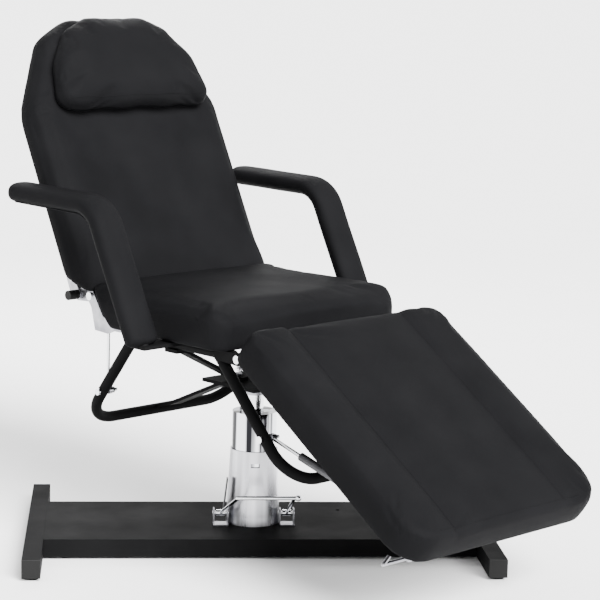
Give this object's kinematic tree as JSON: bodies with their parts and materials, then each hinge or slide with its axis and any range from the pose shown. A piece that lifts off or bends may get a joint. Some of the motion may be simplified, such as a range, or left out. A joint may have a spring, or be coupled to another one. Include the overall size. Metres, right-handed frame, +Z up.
{
  "type": "facial treatment bed",
  "caption": "Reclining facial treatment bed with armrests, pillow and legrest on a hydraulic pump, a swivel and an I-shaped floor base.",
  "frame": {"origin": "middle of the overall outline in plan, on the floor", "axes": "+X to the foot end, +Y to the sitter's left, +Z up"},
  "size_m": [1.381, 1.2098, 1.174],
  "materials": {
    "black_leather": "smooth black upholstery leather, satin",
    "black_coat": "black powder coat, fine texture",
    "chrome": "polished chrome plate",
    "zinc": "zinc plated steel, satin",
    "dark_steel": "dark oiled steel",
    "black_plastic": "moulded black plastic, matt",
    "black_rubber": "black rubber",
    "black_webbing": "woven hook-and-loop tape",
    "plywood": "bare plywood"
  },
  "bodies": {
    "base": {"base_plate": "black_coat", "cross_tube_head": "black_coat", "cross_tube_foot": "black_coat", "cross_tube_caps": "black_plastic", "feet": "black_rubber", "pump_flange": "zinc", "pump_cylinder": "dark_steel", "pump_skirt": "chrome", "pump_sleeve": "chrome", "pedal_brackets": "zinc"},
    "pedal": {"foot_pedal": "chrome", "pump_lever": "dark_steel"},
    "lift": {"pump_ram": "chrome"},
    "backrest": {"backrest_board": "plywood", "backrest_cushion": "black_leather", "backrest_brackets": "zinc", "crank_pins": "chrome", "pillow": "black_leather", "pillow_fixing_strips": "black_webbing"},
    "backrest_locks": {"lock_housings": "zinc"},
    "release_lever": {"release_lever": "zinc", "release_shaft": "chrome", "lever_grip": "black_plastic"},
    "legrest": {"legrest_board": "plywood", "legrest_cushion": "black_leather", "legrest_hinge_brackets": "black_coat", "strut_brackets": "zinc", "handle_hangers": "zinc"},
    "strut_rods": {"strut_rods": "chrome"},
    "strut_cylinders": {"strut_cylinders": "dark_steel"},
    "legrest_handle": {"legrest_handle": "zinc"},
    "seat": {"socket_hub": "zinc", "mounting_plate": "black_coat", "spider_bolts": "zinc", "rear_arm": "black_coat", "front_arm": "black_coat", "side_arms": "black_coat", "rail_right": "black_coat", "rail_left": "black_coat", "rail_end_caps": "black_plastic", "rear_post_right": "black_coat", "rear_post_left": "black_coat", "rear_cross_tube": "black_coat", "front_leg_right": "black_coat", "front_leg_left": "black_coat", "front_cross_tube": "black_coat", "frame_bolts": "chrome", "frame_nuts": "zinc", "seat_board": "plywood", "seat_cushion": "black_leather", "armrest_brackets": "black_coat", "armrest_tube_right": "black_coat", "armrest_tube_left": "black_coat", "armrest_pad_right": "black_leather", "armrest_pad_left": "black_leather", "back_hinge_plates": "zinc", "back_hinge_pins": "chrome", "lock_rods": "chrome", "knee_plates": "black_coat", "knee_pins": "chrome"}
  },
  "joints": [
    {"name": "lift_slide", "type": "slide", "parent": "base", "child": "lift", "axis": [0, 0, 1], "range_m": [0, 0.16]},
    {"name": "seat_swivel", "type": "hinge", "parent": "lift", "child": "seat", "pos_m": [-0.07964, -0.00878, 0.34], "axis": [0, 0, 1], "continuous": true},
    {"name": "pedal_hinge", "type": "hinge", "parent": "base", "child": "pedal", "pos_m": [-0.05654, -0.02792, 0.071], "axis": [0.6381, 0.77, 0], "range_deg": [0, 22], "stiffness_Nm_per_rad": 2, "springref_deg": -28.65},
    {"name": "backrest_hinge", "type": "hinge", "parent": "seat", "child": "backrest", "pos_m": [-0.37004, -0.00878, 0.5483], "axis": [0, -1, 0], "range_deg": [0, 63.63]},
    {"name": "backrest_lock_slide", "type": "slide", "parent": "seat", "child": "backrest_locks", "axis": [0, 0, 1], "range_m": [0, 0.032]},
    {"name": "release_lever_hinge", "type": "hinge", "parent": "backrest", "child": "release_lever", "pos_m": [-0.43879, -0.00878, 0.57826], "axis": [0, 1, 0], "range_deg": [0, 20], "stiffness_Nm_per_rad": 1, "springref_deg": -28.65},
    {"name": "legrest_hinge", "type": "hinge", "parent": "seat", "child": "legrest", "pos_m": [0.12006, -0.00878, 0.4785], "axis": [0, -1, 0], "range_deg": [0, 34.2]},
    {"name": "strut_swing", "type": "hinge", "parent": "seat", "child": "strut_rods", "pos_m": [0.18936, -0.00878, 0.3181], "axis": [0, -1, 0], "range_deg": [0, 41]},
    {"name": "strut_slide", "type": "slide", "parent": "strut_rods", "child": "strut_cylinders", "axis": [0.9649, 0, -0.2627], "range_m": [0, 0.0955]},
    {"name": "legrest_handle_hinge", "type": "hinge", "parent": "legrest", "child": "legrest_handle", "pos_m": [0.55656, -0.00878, 0.13429], "axis": [0, -1, 0], "range_deg": [0, 25], "stiffness_Nm_per_rad": 0.8, "springref_deg": -28.65}
  ],
  "couplings": [
    {"joint": "backrest_lock_slide", "follows": "backrest_hinge", "m_per_rad": 0.02848},
    {"joint": "strut_swing", "follows": "legrest_hinge", "ratio": 1.195},
    {"joint": "strut_slide", "follows": "legrest_hinge", "m_per_rad": 0.159}
  ]
}
